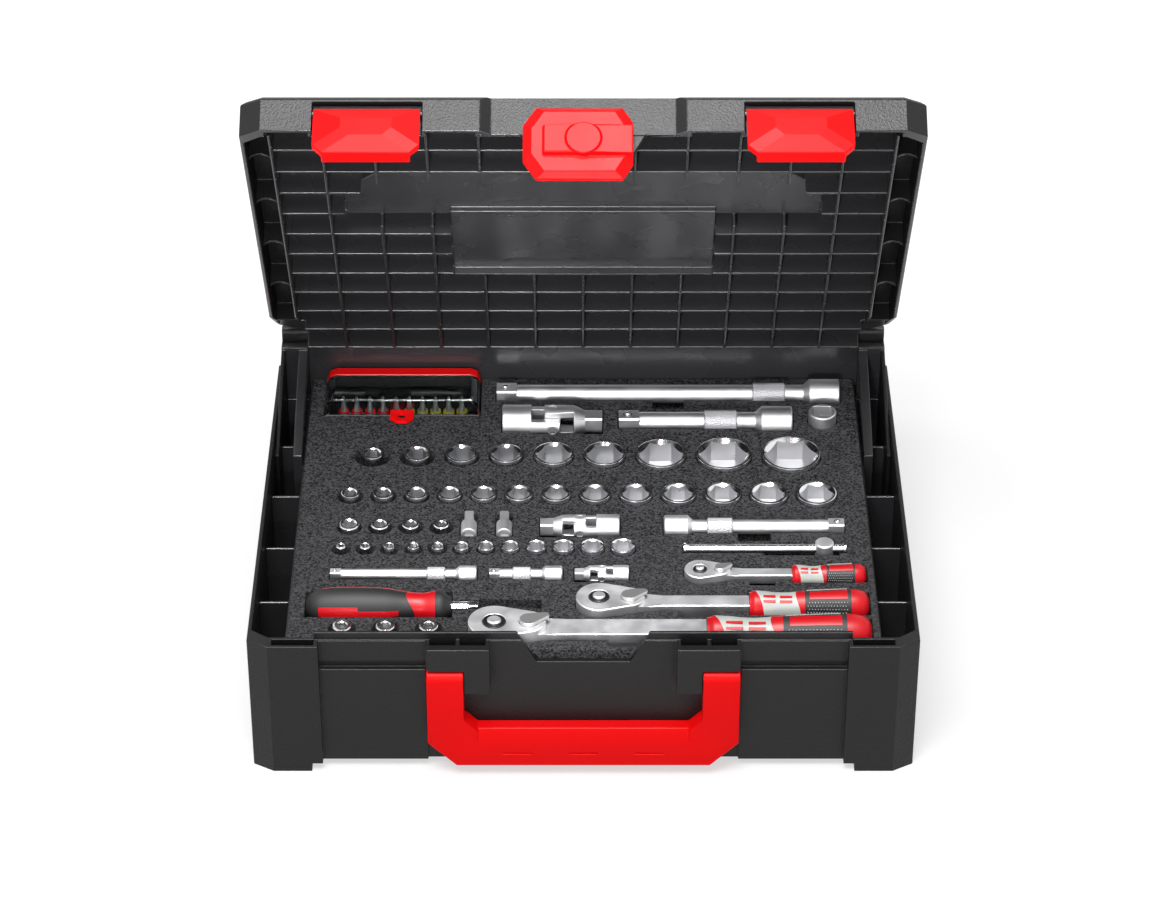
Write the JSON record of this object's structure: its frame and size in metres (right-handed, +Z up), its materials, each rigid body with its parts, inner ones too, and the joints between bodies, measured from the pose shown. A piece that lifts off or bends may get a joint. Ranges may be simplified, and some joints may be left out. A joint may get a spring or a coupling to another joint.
{
  "type": "socket wrench set in case",
  "caption": "Socket wrench set lying in a foam tray inside a moulded carrying case with an open hinged lid, draw latches, turn lock and red handle.",
  "frame": {"origin": "centre of the case on the surface it stands on", "axes": "+X to the viewer's right, +Y towards the hinge, +Z up"},
  "size_m": [0.446, 0.355, 0.4255],
  "materials": {
    "case_plastic": "fine texture",
    "red_plastic": "satin",
    "grip_plastic": "satin, two colours",
    "black_plastic": "matte",
    "clear_plastic": "clear polycarbonate",
    "foam": "closed-cell foam",
    "chrome_steel": "polished plate",
    "satin_steel": "satin",
    "bit_steel": "satin",
    "steel_pin": "satin"
  },
  "bodies": {
    "case": {"case_base": "case_plastic", "hinge_pin": "steel_pin", "handle_pins": "steel_pin", "foam_tray": "foam", "half_inch_sockets": "chrome_steel", "three_eighths_sockets": "chrome_steel", "quarter_inch_sockets": "chrome_steel", "star_sockets": "chrome_steel", "drive_adapters": "chrome_steel", "bit_holders": "chrome_steel", "bit_box_shell": "red_plastic", "bit_rack": "black_plastic", "bits": "bit_steel", "half_inch_joint_socket_fork": "chrome_steel", "three_eighths_joint_socket_fork": "chrome_steel", "quarter_inch_joint_socket_fork": "chrome_steel"},
    "lid": {"lid_shell": "case_plastic", "latch_pins": "steel_pin"},
    "left_latch": {"latch_left": "red_plastic"},
    "right_latch": {"latch_right": "red_plastic"},
    "lock": {"turn_knob": "red_plastic", "knob_spindle": "steel_pin"},
    "handle": {"carry_handle": "red_plastic"},
    "bit_cover": {"bit_box_cover": "clear_plastic", "bit_box_tab": "red_plastic"},
    "half_inch_joint_bend": {"half_inch_joint_cross": "chrome_steel"},
    "half_inch_joint_swing": {"half_inch_joint_drive_fork": "chrome_steel"},
    "three_eighths_joint_bend": {"three_eighths_joint_cross": "chrome_steel"},
    "three_eighths_joint_swing": {"three_eighths_joint_drive_fork": "chrome_steel"},
    "quarter_inch_joint_bend": {"quarter_inch_joint_cross": "chrome_steel"},
    "quarter_inch_joint_swing": {"quarter_inch_joint_drive_fork": "chrome_steel"},
    "half_inch_ratchet": {"half_inch_ratchet_body": "satin_steel", "half_inch_ratchet_grip": "grip_plastic"},
    "half_inch_ratchet_anvil": {"half_inch_ratchet_drive": "satin_steel"},
    "half_inch_ratchet_release": {"half_inch_ratchet_button": "steel_pin"},
    "half_inch_ratchet_reverse": {"half_inch_ratchet_lever": "black_plastic"},
    "three_eighths_ratchet": {"three_eighths_ratchet_body": "satin_steel", "three_eighths_ratchet_grip": "grip_plastic"},
    "three_eighths_ratchet_anvil": {"three_eighths_ratchet_drive": "satin_steel"},
    "three_eighths_ratchet_release": {"three_eighths_ratchet_button": "steel_pin"},
    "three_eighths_ratchet_reverse": {"three_eighths_ratchet_lever": "black_plastic"},
    "quarter_inch_ratchet": {"quarter_inch_ratchet_body": "satin_steel", "quarter_inch_ratchet_grip": "grip_plastic"},
    "quarter_inch_ratchet_anvil": {"quarter_inch_ratchet_drive": "satin_steel"},
    "quarter_inch_ratchet_release": {"quarter_inch_ratchet_button": "steel_pin"},
    "quarter_inch_ratchet_reverse": {"quarter_inch_ratchet_lever": "black_plastic"},
    "half_inch_extension": {"half_inch_extension": "chrome_steel"},
    "half_inch_short_extension": {"half_inch_short_extension": "chrome_steel"},
    "three_eighths_extension": {"three_eighths_extension": "chrome_steel"},
    "quarter_inch_extension": {"quarter_inch_extension": "chrome_steel"},
    "quarter_inch_short_extension": {"quarter_inch_short_extension": "chrome_steel"},
    "sliding_bar": {"sliding_bar": "chrome_steel"},
    "sliding_head": {"sliding_bar_head": "chrome_steel"},
    "spinner": {"spinner_grip": "grip_plastic", "spinner_shank": "chrome_steel"}
  },
  "joints": [
    {"name": "lid_hinge", "type": "hinge", "parent": "case", "child": "lid", "pos_m": [0, 0.17152, 0.131], "axis": [-1, 0, 0], "range_deg": [-59, 41]},
    {"name": "left_latch_swing", "type": "hinge", "parent": "lid", "child": "left_latch", "pos_m": [0, -0.0144, 0.41867], "axis": [-1, 0, 0], "range_deg": [-10, 75]},
    {"name": "right_latch_swing", "type": "hinge", "parent": "lid", "child": "right_latch", "pos_m": [0, -0.0144, 0.41867], "axis": [-1, 0, 0], "range_deg": [-10, 75]},
    {"name": "lock_turn", "type": "hinge", "parent": "lid", "child": "lock", "pos_m": [0, -0.03173, 0.40324], "axis": [0, -0.515, 0.8572], "range_deg": [0, 90]},
    {"name": "handle_swing", "type": "hinge", "parent": "case", "child": "handle", "pos_m": [0, -0.17261, 0.08], "axis": [-1, 0, 0], "range_deg": [0, 95]},
    {"name": "bit_cover_flip", "type": "hinge", "parent": "case", "child": "bit_cover", "pos_m": [0, 0.15052, 0.107], "axis": [-1, 0, 0], "range_deg": [0, 45]},
    {"name": "half_inch_joint_bend_pin", "type": "hinge", "parent": "case", "child": "half_inch_joint_bend", "pos_m": [-0.0222, 0.10751, 0.095], "axis": [0, -1, 0], "range_deg": [0, 40]},
    {"name": "half_inch_joint_swing_pin", "type": "hinge", "parent": "half_inch_joint_bend", "child": "half_inch_joint_swing", "pos_m": [-0.0222, 0.10751, 0.095], "axis": [0, 0, 1], "range_deg": [-5, 5]},
    {"name": "three_eighths_joint_bend_pin", "type": "hinge", "parent": "case", "child": "three_eighths_joint_bend", "pos_m": [-0.0023, -0.02268, 0.095], "axis": [0, 1, 0], "range_deg": [0, 40]},
    {"name": "three_eighths_joint_swing_pin", "type": "hinge", "parent": "three_eighths_joint_bend", "child": "three_eighths_joint_swing", "pos_m": [-0.0023, -0.02268, 0.095], "axis": [0, 0, 1], "range_deg": [-5, 5]},
    {"name": "quarter_inch_joint_bend_pin", "type": "hinge", "parent": "case", "child": "quarter_inch_joint_bend", "pos_m": [0.0127, -0.07781, 0.095], "axis": [0, 1, 0], "range_deg": [0, 40]},
    {"name": "quarter_inch_joint_swing_pin", "type": "hinge", "parent": "quarter_inch_joint_bend", "child": "quarter_inch_joint_swing", "pos_m": [0.0127, -0.07781, 0.095], "axis": [0, 0, 1], "range_deg": [-5, 5]},
    {"name": "half_inch_ratchet_lift", "type": "slide", "parent": "case", "child": "half_inch_ratchet", "axis": [0, 0, 1], "range_m": [0, 0.035]},
    {"name": "half_inch_ratchet_drive_turn", "type": "hinge", "parent": "half_inch_ratchet", "child": "half_inch_ratchet_anvil", "pos_m": [-0.0595, -0.14142, 0.095], "axis": [0, 0, 1], "continuous": true},
    {"name": "half_inch_ratchet_button_press", "type": "slide", "parent": "half_inch_ratchet_anvil", "child": "half_inch_ratchet_release", "axis": [0, 0, -1], "range_m": [0, 0.0015], "stiffness_N_per_m": 400},
    {"name": "half_inch_ratchet_lever_turn", "type": "hinge", "parent": "half_inch_ratchet", "child": "half_inch_ratchet_reverse", "pos_m": [-0.0364, -0.14142, 0.095], "axis": [0, 0, 1], "range_deg": [-44, 0]},
    {"name": "three_eighths_ratchet_lift", "type": "slide", "parent": "case", "child": "three_eighths_ratchet", "axis": [0, 0, 1], "range_m": [0, 0.03]},
    {"name": "three_eighths_ratchet_drive_turn", "type": "hinge", "parent": "three_eighths_ratchet", "child": "three_eighths_ratchet_anvil", "pos_m": [0.0106, -0.11142, 0.095], "axis": [0, 0, 1], "continuous": true},
    {"name": "three_eighths_ratchet_button_press", "type": "slide", "parent": "three_eighths_ratchet_anvil", "child": "three_eighths_ratchet_release", "axis": [0, 0, -1], "range_m": [0, 0.0015], "stiffness_N_per_m": 400},
    {"name": "three_eighths_ratchet_lever_turn", "type": "hinge", "parent": "three_eighths_ratchet", "child": "three_eighths_ratchet_reverse", "pos_m": [0.03119, -0.11142, 0.095], "axis": [0, 0, 1], "range_deg": [-44, 0]},
    {"name": "quarter_inch_ratchet_lift", "type": "slide", "parent": "case", "child": "quarter_inch_ratchet", "axis": [0, 0, 1], "range_m": [0, 0.025]},
    {"name": "quarter_inch_ratchet_drive_turn", "type": "hinge", "parent": "quarter_inch_ratchet", "child": "quarter_inch_ratchet_anvil", "pos_m": [0.0795, -0.07781, 0.095], "axis": [0, 0, 1], "continuous": true},
    {"name": "quarter_inch_ratchet_button_press", "type": "slide", "parent": "quarter_inch_ratchet_anvil", "child": "quarter_inch_ratchet_release", "axis": [0, 0, -1], "range_m": [0, 0.0015], "stiffness_N_per_m": 400},
    {"name": "quarter_inch_ratchet_lever_turn", "type": "hinge", "parent": "quarter_inch_ratchet", "child": "quarter_inch_ratchet_reverse", "pos_m": [0.09336, -0.07781, 0.095], "axis": [0, 0, 1], "range_deg": [-44, 0]},
    {"name": "half_inch_extension_lift", "type": "slide", "parent": "case", "child": "half_inch_extension", "axis": [0, 0, 1], "range_m": [0, 0.02]},
    {"name": "half_inch_short_extension_lift", "type": "slide", "parent": "case", "child": "half_inch_short_extension", "axis": [0, 0, 1], "range_m": [0, 0.03]},
    {"name": "three_eighths_extension_lift", "type": "slide", "parent": "case", "child": "three_eighths_extension", "axis": [0, 0, 1], "range_m": [0, 0.03]},
    {"name": "quarter_inch_extension_lift", "type": "slide", "parent": "case", "child": "quarter_inch_extension", "axis": [0, 0, 1], "range_m": [0, 0.025]},
    {"name": "quarter_inch_short_extension_lift", "type": "slide", "parent": "case", "child": "quarter_inch_short_extension", "axis": [0, 0, 1], "range_m": [0, 0.025]},
    {"name": "sliding_bar_lift", "type": "slide", "parent": "case", "child": "sliding_bar", "axis": [0, 0, 1], "range_m": [0, 0.025]},
    {"name": "sliding_head_slide", "type": "slide", "parent": "sliding_bar", "child": "sliding_head", "axis": [1, 0, 0], "range_m": [-0.033, 0.003]},
    {"name": "spinner_lift", "type": "slide", "parent": "case", "child": "spinner", "axis": [0, 0, 1], "range_m": [0, 0.03]}
  ]
}
